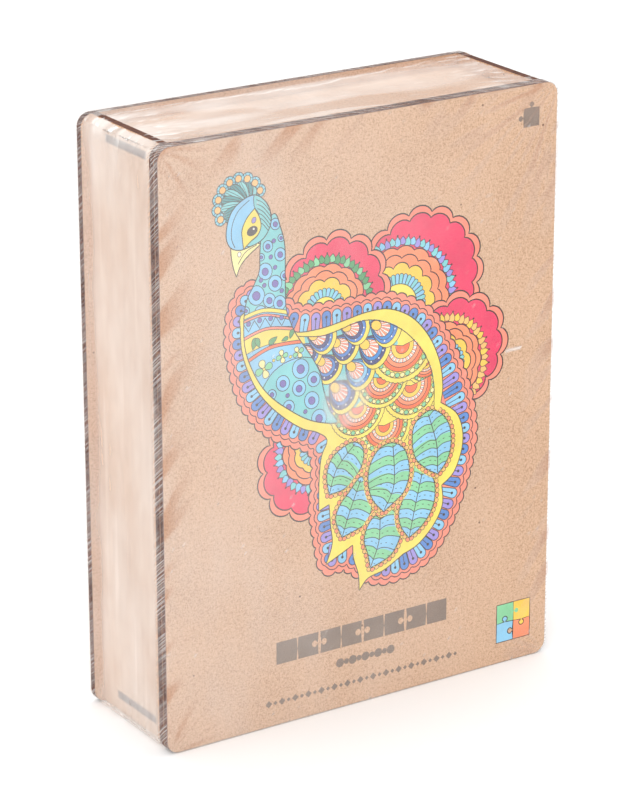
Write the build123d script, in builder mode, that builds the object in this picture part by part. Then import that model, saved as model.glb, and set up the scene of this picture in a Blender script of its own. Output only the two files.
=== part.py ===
"""Laser-cut wooden box with a lift-off lid, clear shrink film and the interlocking wooden jigsaw inside."""

import os
from math import cos, pi, sin

from build123d import *

os.makedirs("parts", exist_ok=True)

# ---- Driving dimensions, mm -------------------------------------------------------------------
# The box stands upright: X is its width, Z its height, and the lid faces -Y.
figure_height = 175.0  # the jigsaw put together
side_room = 14.0  # free space beside the jigsaw, each side
end_room = 20.3  # free space above and below the jigsaw
wall_depth = 48.5  # from the front frame to the back panel

board = 3.0  # thickness of every board
plate_corner = 5.0
side_inset = 4.5  # the plates stand out past the side walls
end_recess = 5.2  # the end walls are set in from the plates' ends

end_tab = 28.5  # tabs of the end walls, seen in the side walls
rim_tab = 30.0  # tabs of all four walls into the frame and the back panel
tab_gap = 0.05  # around a tab in its slot, each side

frame_lip = 4.0  # the front frame covers the walls' edges and this much more
lid_gap = 0.3  # around the locating panel in the frame's opening

film = 0.2
film_gap = 0.3  # between the film and the plates, and between the two film caps
film_corner_ease = 0.6  # the film's corner clears the side walls' ends by being this much tighter

jigsaw_board = 3.0
seat_gap = 0.3  # between the jigsaw and the back panel
kerf = 0.2  # the cut between two pieces
knob_radius = 2.3
knob_neck = 1.5  # half the width of a knob where it joins its piece
knob_margin = 1.6  # wood left around a knob at the jigsaw's outline

# ---- Worked out from them ---------------------------------------------------------------------
figure_scale = figure_height / 175.0  # the figure's points are given for this height
figure_width = 130.0 * figure_scale
plate_width = figure_width + 2 * (side_room + board + side_inset)
plate_height = figure_height + 2 * (end_room + board + end_recess)

base_z = film  # the plates stand on the film
middle_z = base_z + plate_height / 2
front_y = -(wall_depth + 3 * board) / 2  # outer face of the lid
frame_y = front_y + board
wall_y = frame_y + board
back_y = wall_y + wall_depth
wall_middle_y = wall_y + wall_depth / 2

side_x = plate_width / 2 - side_inset  # outer face of the side walls
inner_x = side_x - board
end_low_z = base_z + end_recess
end_high_z = base_z + plate_height - end_recess
inner_height = plate_height - 2 * (end_recess + board)

opening_width = 2 * (inner_x - frame_lip)
opening_height = inner_height - 2 * frame_lip

rim_tab_z = plate_height / 4  # tabs on the side walls, above and below the middle
slot_end_z = plate_height / 2 - end_recess - board / 2
slot_thick = board + 2 * tab_gap
rim_slot = rim_tab + 2 * tab_gap


# ---- Back panel and front frame ---------------------------------------------------------------
def rim_slots():
    """Slots that take the four walls' tabs, in the open sketch of a plate."""
    slot_x = side_x - board / 2
    with Locations(*[(x, z) for x in (-slot_x, slot_x) for z in (-rim_tab_z, rim_tab_z)]):
        Rectangle(slot_thick, rim_slot, mode=Mode.SUBTRACT)
    with Locations((0, -slot_end_z), (0, slot_end_z)):
        Rectangle(rim_slot, slot_thick, mode=Mode.SUBTRACT)


def plate_plane(y):
    """A plane that faces the front, with its middle on the plates' middle."""
    return Plane(origin=(0, y, middle_z), x_dir=(1, 0, 0), z_dir=(0, -1, 0))


with BuildPart() as back_panel:
    with BuildSketch(plate_plane(back_y + board)):
        RectangleRounded(plate_width, plate_height, plate_corner)
        rim_slots()
    extrude(amount=board)

with BuildPart() as front_frame:
    with BuildSketch(plate_plane(wall_y)):
        RectangleRounded(plate_width, plate_height, plate_corner)
        Rectangle(opening_width, opening_height, mode=Mode.SUBTRACT)
        rim_slots()
    extrude(amount=board)

# ---- Lid --------------------------------------------------------------------------------------
with BuildPart() as lid_panel:
    with BuildSketch(plate_plane(frame_y)):
        RectangleRounded(plate_width, plate_height, plate_corner)
    extrude(amount=board)

with BuildPart() as lid_locating_panel:
    with BuildSketch(plate_plane(wall_y)):
        Rectangle(opening_width - 2 * lid_gap, opening_height - 2 * lid_gap)
    extrude(amount=board)


# ---- Walls ------------------------------------------------------------------------------------
def side_wall(low_x):
    """A full-height wall with two slots for the end walls' tabs, and tabs of its own front and back."""
    with BuildPart() as wall:
        with BuildSketch(Plane.YZ.offset(low_x)):
            with Locations((wall_middle_y, middle_z)):
                Rectangle(wall_depth, plate_height)
            with Locations(*[(wall_middle_y, middle_z + z) for z in (-rim_tab_z, rim_tab_z)]):
                Rectangle(wall_depth + 2 * board, rim_tab)
            with Locations(*[(wall_middle_y, middle_z + z) for z in (-slot_end_z, slot_end_z)]):
                Rectangle(end_tab + 2 * tab_gap, slot_thick, mode=Mode.SUBTRACT)
        extrude(amount=board)
    return wall.part


def end_wall(low_z):
    """A wall between the side walls, with a tab at each end and one front and back."""
    with BuildPart() as wall:
        with BuildSketch(Plane.XY.offset(low_z)):
            with Locations((0, wall_middle_y)):
                Rectangle(2 * inner_x, wall_depth)
                Rectangle(2 * side_x, end_tab)
                Rectangle(rim_tab, wall_depth + 2 * board)
        extrude(amount=board)
    return wall.part


left_wall = side_wall(-side_x)
right_wall = side_wall(inner_x)
bottom_wall = end_wall(end_low_z)
top_wall = end_wall(end_high_z - board)


# ---- Shrink film ------------------------------------------------------------------------------
film_inner_height = plate_height + film_gap  # it lies against the plates' lower edges
film_middle_z = base_z + film_inner_height / 2
film_front_y = front_y - film_gap
film_back_y = back_y + board + film_gap
seam_y = (film_front_y + film_back_y) / 2


def film_cap(closed_y, open_y):
    """Half of the film: an end sheet and the skirt around the plates' edges, open at mid depth."""
    toward = 1 if open_y > closed_y else -1
    end_plane = Plane(origin=(0, closed_y, film_middle_z), x_dir=(1, 0, 0), z_dir=(0, toward, 0))
    inner_width = plate_width + 2 * film_gap
    inner_corner = side_inset - film_corner_ease
    with BuildPart() as cap:
        with BuildSketch(end_plane.offset(-film)):
            RectangleRounded(inner_width + 2 * film, film_inner_height + 2 * film, inner_corner + film)
        extrude(amount=abs(open_y - closed_y) + film)
        with BuildSketch(end_plane):
            RectangleRounded(inner_width, film_inner_height, inner_corner)
        extrude(amount=abs(open_y - closed_y), mode=Mode.SUBTRACT)
    return cap.part


film_front = film_cap(film_front_y, seam_y - film_gap / 2)
film_back = film_cap(film_back_y, seam_y + film_gap / 2)

box_parts = {
    "back_panel": back_panel.part,
    "left_wall": left_wall,
    "right_wall": right_wall,
    "bottom_wall": bottom_wall,
    "top_wall": top_wall,
    "front_frame": front_frame.part,
    "lid_panel": lid_panel.part,
    "lid_locating_panel": lid_locating_panel.part,
    "film_front": film_front,
    "film_back": film_back,
}

# ---- Outline of the jigsaw: a bird with fanned feathers ------------------------------------------
# Points are in mm on a figure 175 mm tall, from the middle of its base, and scaled with it.
body_points = [
    (-50, 131), (-57, 125), (-59, 113), (-57, 100), (-53, 88), (-45, 77), (-35, 70),
    (-24, 64), (-22, 54), (-23, 40), (-21, 26), (-18, 15), (-9, 14), (1, 7), (10, 4.5),
    (21, 6), (30, 11), (38, 22), (44, 36), (48, 52), (47, 66), (42, 82), (34, 98),
    (25, 109), (10, 116), (-8, 117), (-28, 118), (-38, 124),
]  # fmt: skip
fans = [(-15, 121, 25.5), (23.5, 120.5, 29), (41, 90, 23.5), (-26, 58.5, 22.5)]
neck_points = [(-54, 118), (-53, 126), (-49.5, 135), (-46, 142), (-45, 152)]
nape_points = [(-39, 160), (-35.5, 150), (-34, 138), (-34.5, 126), (-32, 112)]
beak_points = [(-59, 154), (-58.5, 145), (-56, 137.5), (-51.5, 142), (-46, 149)]
head_centre = (-50.5, 154)
head_radius = 9.6
crest_centre = (-54.5, 163)
crest_radius = 8.2

body_scallop = 2.9
body_scallop_step = 4.6
fan_scallop = 5.4
fan_scallop_step = 9.4
crest_scallop = 2.4
crest_reach = 9.2  # from the crest's centre to the middles of its scallops
crest_count = 9
crest_start = 20.0
crest_turn = 190.0


def scaled(*points):
    return [(x * figure_scale, y * figure_scale) for x, y in points]


with BuildSketch() as figure:
    with BuildLine() as body_line:
        Spline(*scaled(*body_points), periodic=True)
    make_face()
    body_edge = body_line.line.edge()
    body_scallops = round(body_edge.length / (body_scallop_step * figure_scale))
    with Locations(*[body_edge @ (k / body_scallops) for k in range(body_scallops)]):
        Circle(body_scallop * figure_scale)
    for centre_x, centre_y, fan_radius in fans:
        ring_radius = fan_radius - fan_scallop
        with Locations(*scaled((centre_x, centre_y))):
            Circle(ring_radius * figure_scale)
            with PolarLocations(ring_radius * figure_scale, round(2 * pi * ring_radius / fan_scallop_step)):
                Circle(fan_scallop * figure_scale)
    with BuildLine():
        throat = Spline(*scaled(*neck_points))
        nape = Spline(*scaled(*nape_points))
        Line(throat @ 1, nape @ 0)
        Line(nape @ 1, throat @ 0)
    make_face()
    with BuildLine():
        Polyline(*scaled(*beak_points), close=True)
    make_face()
    with Locations(*scaled(head_centre)):
        Circle(head_radius * figure_scale)
    with Locations(*scaled(crest_centre)):
        Circle(crest_radius * figure_scale)
        with PolarLocations(crest_reach * figure_scale, crest_count, crest_start, crest_turn):
            Circle(crest_scallop * figure_scale)

figure_face = figure.sketch_local.face()

# ---- Cutting plan: cells with the same letter stay one piece --------------------------------------
cutting_plan = [
    "AA......",
    "BBGHDDD.",
    "EFGHIJKK",
    "ELMNOPCC",
    "QRMSTUVW",
    "QXYZZabc",
    "ddefghij",
    ".klmnopp",
    ".qqrnstt",
    "..uvwxy.",
    "..uvz0y.",
]
columns = len(cutting_plan[0])
rows = len(cutting_plan)
cell_width = figure_width / columns
cell_height = figure_height / rows
wave = 1.1 * figure_scale  # how far the cuts' crossings wander from a square grid
# Crossings moved further, so that the beak and the narrow edges stay on one piece
crossing_shift = {(0, 10): (0, -3), (2, 10): (0, 3), (0, 9): (0, -9), (1, 9): (0, -8), (7, 4): (4, 0)}


def letter_at(column, row):
    """The piece a cell belongs to. Rows count from the base."""
    if 0 <= column < columns and 0 <= row < rows:
        return cutting_plan[rows - 1 - row][column]
    return "."


def crossing(column, row):
    """Where two cuts cross."""
    shift_x, shift_y = crossing_shift.get((column, row), (0, 0))
    x = (column - columns / 2) * cell_width + wave * sin(2.1 * row + 0.8 * column)
    y = row * cell_height + wave * sin(1.7 * column + 0.9 * row)
    return Vector(x + shift_x * figure_scale, y + shift_y * figure_scale)


def knob_side(start, end, column, row):
    """+1 or -1 for a knob to the left or right of the cut from start to end, 0 for none."""
    side = 1 if (column + row) % 2 else -1
    along = (end - start).normalized()
    out = Vector(-along.Y, along.X) * side
    centre = (start + end) * 0.5 + out * knob_radius
    reach = knob_radius + knob_margin
    ring = [centre + Vector(cos(k * pi / 4), sin(k * pi / 4)) * reach for k in range(8)]
    return side if all(figure_face.is_inside(point) for point in ring) else 0


def cut(start, end, side):
    """One side of a cell, in the open line: straight, or with a round knob in its middle."""
    if side == 0:
        Line(start, end)
        return
    along = (end - start).normalized()
    out = Vector(-along.Y, along.X) * side
    middle = (start + end) * 0.5
    neck_depth = (knob_radius**2 - knob_neck**2) ** 0.5
    neck_start = middle - along * knob_neck
    neck_end = middle + along * knob_neck
    Line(start, neck_start)
    ThreePointArc(neck_start, middle + out * (neck_depth + knob_radius), neck_end)
    Line(neck_end, end)


def cell_sides(column, row):
    """The four sides of a cell as (start, end, knob side), the same from either neighbour."""
    lower = (column, row, 1, 0, letter_at(column, row - 1))
    upper = (column, row + 1, 1, 0, letter_at(column, row + 1))
    left = (column, row, 0, 1, letter_at(column - 1, row))
    right = (column + 1, row, 0, 1, letter_at(column + 1, row))
    sides = []
    for first, second, step_x, step_y, neighbour in (lower, upper, left, right):
        start = crossing(first, second)
        end = crossing(first + step_x, second + step_y)
        plain = neighbour in (".", letter_at(column, row))
        sides.append((start, end, 0 if plain else knob_side(start, end, first, second + step_x)))
    return sides


jigsaw_plane = Plane(
    origin=(0, back_y - seat_gap, middle_z - figure_height / 2),
    x_dir=(1, 0, 0),
    z_dir=(0, -1, 0),
)


def jigsaw_piece(letter):
    """One piece: its cells, less half a kerf all round, within the figure's outline."""
    cells = [(c, r) for r in range(rows) for c in range(columns) if letter_at(c, r) == letter]
    with BuildPart() as piece:
        with BuildSketch(jigsaw_plane):
            for column, row in cells:
                with BuildLine():
                    for start, end, side in cell_sides(column, row):
                        cut(start, end, side)
                make_face()
            offset(amount=-kerf / 2)
            add(figure.sketch_local, mode=Mode.INTERSECT)
        extrude(amount=jigsaw_board)
    return piece.part


# ---- Write every piece -------------------------------------------------------------------------
letters = list(dict.fromkeys("".join(cutting_plan).replace(".", "")))
pieces_in_pairs = 6  # the last pieces share a node two by two, which keeps the set at 60 files

single_count = len(letters) - pieces_in_pairs
jigsaw_parts = {f"jigsaw_piece_{k + 1:02d}": jigsaw_piece(letters[k]) for k in range(single_count)}
for k in range(single_count, len(letters), 2):
    with BuildPart() as pair:
        add(jigsaw_piece(letters[k]))
        add(jigsaw_piece(letters[k + 1]))
    jigsaw_parts[f"jigsaw_pieces_{k + 1}_{k + 2}"] = pair.part

for name, shape in (box_parts | jigsaw_parts).items():
    shape.label = name
    export_step(shape, f"parts/{name}.step")
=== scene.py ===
from math import atan2, ceil, cos, dist, hypot, pi, radians, sin, sqrt

import bmesh
import bpy
import numpy as np
from mathutils import Euler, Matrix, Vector, noise
from mathutils.geometry import delaunay_2d_cdt


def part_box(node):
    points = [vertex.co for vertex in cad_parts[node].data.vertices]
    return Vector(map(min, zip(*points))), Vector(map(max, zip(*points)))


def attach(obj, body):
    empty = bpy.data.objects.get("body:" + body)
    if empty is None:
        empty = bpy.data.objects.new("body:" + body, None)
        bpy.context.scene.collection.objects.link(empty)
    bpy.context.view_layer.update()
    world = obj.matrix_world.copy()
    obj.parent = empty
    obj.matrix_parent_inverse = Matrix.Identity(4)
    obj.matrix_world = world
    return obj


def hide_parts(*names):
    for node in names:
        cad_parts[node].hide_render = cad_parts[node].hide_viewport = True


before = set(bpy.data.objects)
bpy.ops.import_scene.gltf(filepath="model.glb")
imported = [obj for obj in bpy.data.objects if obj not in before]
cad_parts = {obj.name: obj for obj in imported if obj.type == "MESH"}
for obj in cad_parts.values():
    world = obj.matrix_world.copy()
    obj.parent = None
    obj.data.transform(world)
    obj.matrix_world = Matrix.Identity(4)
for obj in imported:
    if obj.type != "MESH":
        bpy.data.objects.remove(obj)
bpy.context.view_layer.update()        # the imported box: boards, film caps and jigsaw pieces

mm = 0.001


def corners(node):
    low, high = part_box(node)
    return Vector(low), Vector(high)


plateLow, plateHigh = corners("lid_panel")
plateMiddleZ = (plateLow.z + plateHigh.z) / 2

# Stage, light and camera
stageLook = {
    "cameraPlace": (-0.65349, -1.00178, 0.54856),
    "cameraTurn": (70.036, 0.095, -32.926),
    "lens": 151.5,
    "floorColour": (0.93, 0.93, 0.93),
    "worldStrength": 0.83,
    "lit": (0, 0, 0.12),  # where the lights look
    "lights": {  # place, size, power
        "keyLight": ((-1.2, -1.6, 1.6), (1.2, 1.2), 24),
        "topLight": ((0.2, 0.4, 1.9), (1.6, 1.6), 14),
        "sideLight": ((-1.9, 0.3, 0.7), (1.0, 1.4), 4.5),
    },
}


def addCamera(look):
    data = bpy.data.cameras.new("productCamera")
    data.lens = look["lens"]
    data.sensor_width = 36
    data.clip_start = 0.05
    camera = bpy.data.objects.new("productCamera", data)
    camera.location = look["cameraPlace"]
    camera.rotation_euler = Euler([radians(a) for a in look["cameraTurn"]])
    bpy.context.scene.collection.objects.link(camera)
    bpy.context.scene.camera = camera


def addAreaLight(name, place, target, size, power):
    data = bpy.data.lights.new(name, "AREA")
    data.shape = "RECTANGLE"
    data.size, data.size_y = size
    data.energy = power
    light = bpy.data.objects.new(name, data)
    light.location = place
    light.rotation_euler = (Vector(target) - Vector(place)).to_track_quat("-Z", "Y").to_euler()
    bpy.context.scene.collection.objects.link(light)


def addStage(look):
    bpy.ops.mesh.primitive_plane_add(size=12)
    floor = bpy.context.object
    floor.name = "studioFloor"
    paper = bpy.data.materials.new("studioPaper")
    paper.use_nodes = True
    shader = paper.node_tree.nodes["Principled BSDF"]
    shader.inputs["Base Color"].default_value = (*look["floorColour"], 1)
    shader.inputs["Roughness"].default_value = 0.9
    floor.data.materials.append(paper)
    world = bpy.data.worlds.new("studioWorld")
    world.use_nodes = True
    world.node_tree.nodes["Background"].inputs["Color"].default_value = (1, 1, 1, 1)
    world.node_tree.nodes["Background"].inputs["Strength"].default_value = look["worldStrength"]
    bpy.context.scene.world = world
    bpy.context.scene.view_settings.view_transform = "Standard"
    for name, (place, size, power) in look["lights"].items():
        addAreaLight(name, place, look["lit"], size, power)


addCamera(stageLook)
addStage(stageLook)
print("stage ready")


# Node helpers for materials
def newMaterial(name):
    material = bpy.data.materials.new(name)
    material.use_nodes = True
    tree = material.node_tree
    return material, tree, tree.nodes["Principled BSDF"]


# links: {input name or index: socket or value}.
def addNode(tree, kind, links=None, **settings):
    node = tree.nodes.new(kind)
    for key, value in settings.items():
        setattr(node, key, value)
    for key, value in (links or {}).items():
        if isinstance(value, bpy.types.NodeSocket):
            tree.links.new(value, node.inputs[key])
        else:
            node.inputs[key].default_value = value
    return node


def mathNode(tree, operation, first, second=0.0, third=0.0, clamp=False):
    node = addNode(tree, "ShaderNodeMath", {0: first, 1: second}, operation=operation, use_clamp=clamp)
    if operation in ("MULTIPLY_ADD", "COMPARE"):
        if isinstance(third, bpy.types.NodeSocket):
            tree.links.new(third, node.inputs[2])
        else:
            node.inputs[2].default_value = third
    return node.outputs[0]


def noiseAt(tree, place, scale, stretch=(1, 1, 1), detail=3.0, roughness=0.55, offset=(0, 0, 0)):
    mapped = addNode(tree, "ShaderNodeMapping", {"Vector": place, "Scale": stretch, "Location": offset})
    found = addNode(tree, "ShaderNodeTexNoise", {
        "Vector": mapped.outputs[0], "Scale": scale, "Detail": detail, "Roughness": roughness})
    return found.outputs["Fac"]


def ramp(tree, value, low, high, out=(0.0, 1.0), smooth=True):
    node = addNode(tree, "ShaderNodeMapRange", {
        "Value": value, "From Min": low, "From Max": high, "To Min": out[0], "To Max": out[1]})
    node.interpolation_type = "SMOOTHSTEP" if smooth else "LINEAR"
    return node.outputs["Result"]


def mixColour(tree, factor, first, second):
    node = addNode(tree, "ShaderNodeMix", data_type="RGBA")
    for index, value in ((0, factor), (6, first), (7, second)):
        if isinstance(value, bpy.types.NodeSocket):
            tree.links.new(value, node.inputs[index])
        elif index == 0:
            node.inputs[index].default_value = value
        else:
            node.inputs[index].default_value = (*value, 1) if len(value) == 3 else value
    return node.outputs[2]


# Colour as seen on a screen, 0 to 255, to linear light.
def sRgb(red, green, blue):
    parts = [c / 255 for c in (red, green, blue)]
    return tuple(c / 12.92 if c <= 0.04045 else ((c + 0.055) / 1.055) ** 2.4 for c in parts)


# Pressed fibre board, bare, printed or burnt at the cut
boardLook = {
    "base": sRgb(206, 169, 139),
    "pale": sRgb(219, 183, 154),
    "dark": sRgb(176, 136, 104),
    "speck": sRgb(112, 78, 55),
    "char": sRgb(70, 40, 32),
    "charPale": sRgb(134, 88, 68),
    "fibreScale": 2900,
    "roughness": 0.72,
    "specular": 0.25,
    "bump": 0.25,
    "bumpDepth": 0.00006,
}


# Tan board with fine crossing fibres, soft clouds and a few dark specks.
def boardColour(tree, place, look):
    grains = noiseAt(tree, place, look["fibreScale"], detail=2.0, roughness=0.7)
    fibreA = noiseAt(tree, place, look["fibreScale"] * 0.45, (0.5, 1, 1.2), offset=(0.3, 0.1, 0.7))
    fibreB = noiseAt(tree, place, look["fibreScale"] * 0.45, (1.2, 1, 0.55), offset=(0.9, 0.5, 0.2))
    clouds = noiseAt(tree, place, 30, detail=2.0)
    tone = mathNode(tree, "ADD", mathNode(tree, "MULTIPLY", ramp(tree, grains, 0.34, 0.66), 1.4),
                    mathNode(tree, "MULTIPLY", ramp(tree, fibreA, 0.38, 0.66), 0.6))
    tone = mathNode(tree, "MULTIPLY_ADD", ramp(tree, fibreB, 0.38, 0.66), 0.6, tone)
    tone = mathNode(tree, "MULTIPLY_ADD", ramp(tree, clouds, 0.3, 0.72), 0.3, tone)
    light = mixColour(tree, ramp(tree, tone, 1.25, 2.2), look["base"], look["pale"])
    both = mixColour(tree, ramp(tree, tone, 1.2, 0.35), light, look["dark"])
    cells = addNode(tree, "ShaderNodeTexVoronoi", {"Vector": place, "Scale": 110})
    near = ramp(tree, cells.outputs["Distance"], 0.062, 0.034)
    chosen = addNode(tree, "ShaderNodeSeparateColor", {"Color": cells.outputs["Color"]})
    rare = ramp(tree, chosen.outputs[0], 0.62, 0.66)
    return mixColour(tree, mathNode(tree, "MULTIPLY", near, rare), both, look["speck"]), tone


def boardBump(tree, shader, tone, look):
    bump = addNode(tree, "ShaderNodeBump", {
        "Height": tone, "Strength": look["bump"], "Distance": look["bumpDepth"]})
    tree.links.new(bump.outputs[0], shader.inputs["Normal"])


# Laser-burnt edge: dark brown with fine marks across the board's thickness.
def charColour(tree, place, look, stretch):
    marks = noiseAt(tree, place, 900, stretch, detail=3.0, roughness=0.7)
    patches = noiseAt(tree, place, 60, detail=2.0)
    amount = mathNode(tree, "MULTIPLY_ADD", ramp(tree, patches, 0.3, 0.7), 0.35, ramp(tree, marks, 0.4, 0.75))
    return mixColour(tree, mathNode(tree, "MULTIPLY", amount, 0.7), look["char"], look["charPale"])


# Board whose faces look along thinAxis (0, 1 or 2); every other face is a burnt edge.
def makeBoard(name, thinAxis, look=boardLook, printed=False):
    material, tree, shader = newMaterial(name)
    place = addNode(tree, "ShaderNodeTexCoord").outputs["Object"]
    colour, tone = boardColour(tree, place, look)
    normal = addNode(tree, "ShaderNodeNewGeometry").outputs["True Normal"]
    facing = addNode(tree, "ShaderNodeSeparateXYZ", {0: normal}).outputs[thinAxis]
    edge = ramp(tree, mathNode(tree, "ABSOLUTE", facing), 0.75, 0.6)
    if printed:
        ink = addNode(tree, "ShaderNodeAttribute", attribute_name="print")
        worn = mathNode(tree, "MULTIPLY", ink.outputs["Alpha"], ramp(tree, tone, 0.2, 2.6, (0.99, 0.93)))
        blotch = ramp(tree, noiseAt(tree, place, 120, detail=3.0), 0.3, 0.7, (0.9, 1.04))
        tinted = addNode(tree, "ShaderNodeVectorMath", {0: ink.outputs["Color"]}, operation="SCALE")
        tree.links.new(blotch, tinted.inputs["Scale"])
        colour = mixColour(tree, worn, colour, tinted.outputs[0])
    stretch = [1.0, 1.0, 1.0]
    stretch[thinAxis] = 0.12
    colour = mixColour(tree, edge, colour, charColour(tree, place, look, stretch))
    tree.links.new(colour, shader.inputs["Base Color"])
    shader.inputs["Roughness"].default_value = look["roughness"]
    shader.inputs["Specular IOR Level"].default_value = look["specular"]
    boardBump(tree, shader, tone, look)
    return material


def wear(node, material):
    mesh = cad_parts[node].data
    mesh.materials.clear()
    mesh.materials.append(material)


boardFacingFront = makeBoard("fibreBoardFront", 1)
boardFacingSide = makeBoard("fibreBoardSide", 0)
boardFacingUp = makeBoard("fibreBoardUp", 2)
printedBoard = makeBoard("printedBoard", 1, printed=True)
for node in ("back_panel", "front_frame", "lid_locating_panel"):
    wear(node, boardFacingFront)
for node in ("left_wall", "right_wall"):
    wear(node, boardFacingSide)
for node in ("top_wall", "bottom_wall"):
    wear(node, boardFacingUp)
print("boards finished")


# The printed picture: flat shapes from back to front, in millimetres
inks = {
    "line": sRgb(24, 17, 26), "salmon": sRgb(246, 142, 120), "pink": sRgb(232, 52, 100),
    "coral": sRgb(250, 146, 104), "amber": sRgb(252, 206, 78),
    "yellow": sRgb(246, 224, 96), "cream": sRgb(250, 238, 165), "sky": sRgb(140, 204, 238),
    "aqua": sRgb(126, 208, 212), "blue": sRgb(74, 134, 208), "bright": sRgb(34, 136, 208),
    "navy": sRgb(52, 66, 128), "violet": sRgb(158, 144, 220), "mint": sRgb(134, 212, 160),
    "green": sRgb(66, 158, 100), "orange": sRgb(246, 110, 58), "peach": sRgb(246, 190, 112),
    "teal": sRgb(36, 146, 152), "white": sRgb(250, 246, 238), "plum": sRgb(112, 96, 178),
    "grey": sRgb(126, 108, 96), "dark": sRgb(56, 52, 58),
}
picture = []


# Adds a filled shape on top of the others, if need be only inside an earlier one.
def paint(points, ink, within=None):
    picture.append((points, ink, within))
    return len(picture) - 1


# Curve through the points; a point with a third value is a sharp corner.
def smooth(points, closed=True, steps=5):
    count, line = len(points), []
    for i in range(count if closed else count - 1):
        b, c = points[i], points[(i + 1) % count]
        a = points[i - 1] if len(b) == 2 and (closed or i > 0) else b
        d = points[(i + 2) % count] if len(c) == 2 and (closed or i + 2 < count) else c
        for t in (k / steps for k in range(steps)):
            line.append(tuple(0.5 * (2 * b[m] + (c[m] - a[m]) * t
                                     + (2 * a[m] - 5 * b[m] + 4 * c[m] - d[m]) * t * t
                                     + (3 * b[m] - a[m] - 3 * c[m] + d[m]) * t ** 3) for m in (0, 1)))
    return line if closed else line + [tuple(points[-1][:2])]


# The same closed line, running anticlockwise.
def turned(points):
    area = sum(a[0] * b[1] - b[0] * a[1] for a, b in zip(points, points[1:] + points[:1]))
    return points if area > 0 else points[::-1]


def grow(points, amount):
    grown = []
    for i, point in enumerate(points):
        before, after = points[i - 1], points[(i + 1) % len(points)]
        reach = max(hypot(after[0] - before[0], after[1] - before[1]), 1e-6)
        grown.append((point[0] + (after[1] - before[1]) / reach * amount,
                      point[1] - (after[0] - before[0]) / reach * amount))
    return grown


# Evenly spaced (x, y, along x, along y) down a line.
def walk(line, step, closed=True):
    path = line + [line[0]] if closed else line
    lengths = [dist(a, b) for a, b in zip(path, path[1:])]
    count = max(1, round(sum(lengths) / step))
    pace, found, gone, i = sum(lengths) / count, [], 0.0, 0
    for k in range(count if closed else count + 1):
        target = min(k * pace, sum(lengths) - 1e-6)
        while i < len(lengths) - 1 and gone + lengths[i] < target:
            gone += lengths[i]
            i += 1
        share = (target - gone) / max(lengths[i], 1e-9)
        (ax, ay), (bx, by) = path[i][:2], path[i + 1][:2]
        long = max(lengths[i], 1e-9)
        found.append((ax + (bx - ax) * share, ay + (by - ay) * share, (bx - ax) / long, (by - ay) / long))
    return found


# Row of round lobes outside a line, centred on its evenly spaced points.
def scalloped(line, step, radius, closed=True, fine=7):
    line = turned(line) if closed else line
    total = sum(dist(a, b) for a, b in zip(line, line[1:] + (line[:1] if closed else [])))
    count = max(1, round(total / step))
    pace, found = total / count, []
    for k, (x, y, dx, dy) in enumerate(walk(line, pace / fine, closed)):
        away = ((k / fine + 0.5) % 1 - 0.5) * pace
        out = sqrt(max(radius * radius - away * away, 0.01))
        found.append((x + dy * out, y - dx * out))
    return found


def disc(x, y, radius, sides=14, squash=1.0, turn=0.0):
    found = []
    for k in range(sides):
        a = 2 * pi * k / sides
        u, v = radius * cos(a), radius * squash * sin(a)
        found.append((x + u * cos(turn) - v * sin(turn), y + u * sin(turn) + v * cos(turn)))
    return found


# Points drawn about the origin, pointing along +x, turned and moved.
def placed(points, x, y, turn, size=1.0):
    c, s = cos(turn) * size, sin(turn) * size
    return [(x + u * c - v * s, y + u * s + v * c) for u, v in points]


# Teardrop from a point at the origin to a round end at +x.
def drop(long, wide, steps=14):
    return [(long * (1 - cos(a)) / 2, wide * 0.62 * sin(a) * sin(a / 2))
            for a in (2 * pi * k / steps for k in range(steps))]


# Flat base at the origin, round end at +x.
def tongue(long, wide, steps=7):
    half = wide / 2
    tip = [(long - half + half * cos(a), half * sin(a))
           for a in (-pi / 2 + pi * k / steps for k in range(steps + 1))]
    return [(0, -half * 0.72)] + tip + [(0, half * 0.72)]


# Part of a ring between two angles.
def halo(x, y, inner, outer, start, end, steps=12):
    angles = [start + (end - start) * k / steps for k in range(steps + 1)]
    return ([(x + outer * cos(a), y + outer * sin(a)) for a in angles]
            + [(x + inner * cos(a), y + inner * sin(a)) for a in reversed(angles)])


# Ribbon along an open line.
def stroke(line, width):
    pairs = []
    for i, (x, y) in enumerate(line):
        a, b = line[max(i - 1, 0)], line[min(i + 1, len(line) - 1)]
        reach = max(dist(a, b), 1e-6)
        pairs.append(((a[1] - b[1]) / reach * width / 2, (b[0] - a[0]) / reach * width / 2))
    return ([(x + u, y + v) for (x, y), (u, v) in zip(line, pairs)]
            + [(x - u, y - v) for (x, y), (u, v) in reversed(list(zip(line, pairs)))])


def drawLine(points, width, within):
    paint(stroke(smooth(points, False), width), "line", within)


# Filled shape with a drawn outline; gives back the fill's number.
def outlined(points, ink, width=0.4, within=None):
    points = turned(points)
    paint(grow(points, width / 2), "line", within)
    return paint(grow(points, -width / 2), ink, within)


# The bird's fans, back to front
fanArt = [
    {"middle": (23.5, 120.5), "reach": 29, "heart": (13.4, 112.2), "petals": ("aqua", "violet", "sky"),
     "rings": (23.4, 20.2, 17.0, 12.0, 8.8)},
    {"middle": (-15, 121), "reach": 25.5, "heart": (-18.7, 116), "petals": ("mint", "green", "green"),
     "rings": (18.4, 15.8, 13.2, 8.4, 5.8)},
    {"middle": (41, 90), "reach": 23.5, "heart": (34.8, 85.0), "petals": ("peach", "amber", "peach"),
     "rings": (17.2, 14.8, 12.4, 8.8, 5.8)},
    {"middle": (-26, 58.5), "reach": 22.5, "heart": (-23.2, 63.5), "petals": ("sky", "violet", "aqua"),
     "rings": (13.8, 11.6, 9.0, 5.6, 3.2)},
]
fanLobe = {"radius": 5.4, "step": 9.4, "rim": 2.5}


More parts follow.
